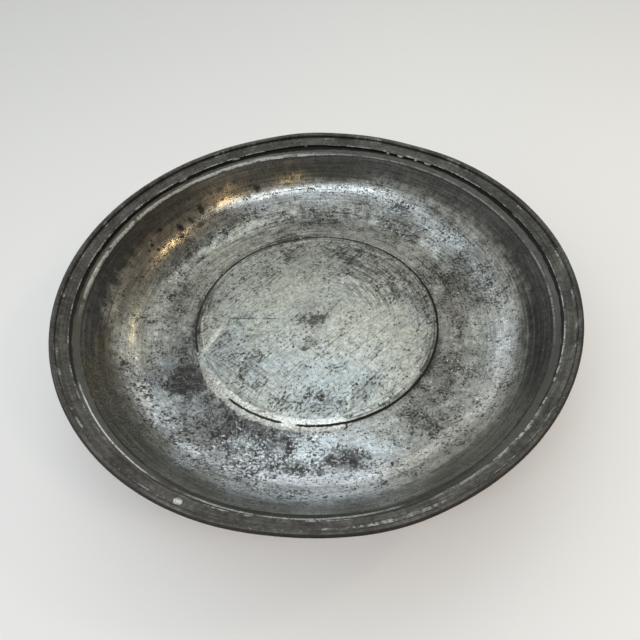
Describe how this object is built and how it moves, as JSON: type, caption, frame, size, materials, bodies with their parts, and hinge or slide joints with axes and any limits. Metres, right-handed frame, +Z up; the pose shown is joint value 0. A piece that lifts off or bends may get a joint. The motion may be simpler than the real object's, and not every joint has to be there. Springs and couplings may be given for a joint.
{
  "type": "serving dish",
  "caption": "Round shallow tinned-copper serving dish with a curved wall, a lapped centre plate, a wired sloping rim band and a low foot ring; holds food on a table.",
  "frame": {"origin": "on the axis of the dish, in the plane of the table that the foot ring stands on", "axes": "+Z up along the axis of the dish; -Y towards the person it is set before, so the repaired stretch of the seam lies at the front left"},
  "size_m": [0.3999, 0.4, 0.0821],
  "materials": {
    "tinned_bowl": "worn tin over copper, pitted and scratched, satin",
    "tinned_plate": "worn tin over copper, scratched, satin",
    "tinned_rim": "darkened tin over copper, satin",
    "solder": "tin solder, smeared and bright",
    "iron_wire": "drawn iron wire",
    "copper_foot": "dark patinated copper"
  },
  "bodies": {
    "root": {"bowl": "tinned_bowl", "centre_plate": "tinned_plate", "seam_solder": "solder", "seam_repair": "solder", "rim_band": "tinned_rim", "rim_wire": "iron_wire", "rim_solder": "solder", "foot_ring": "copper_foot", "foot_solder": "solder"}
  },
  "joints": []
}
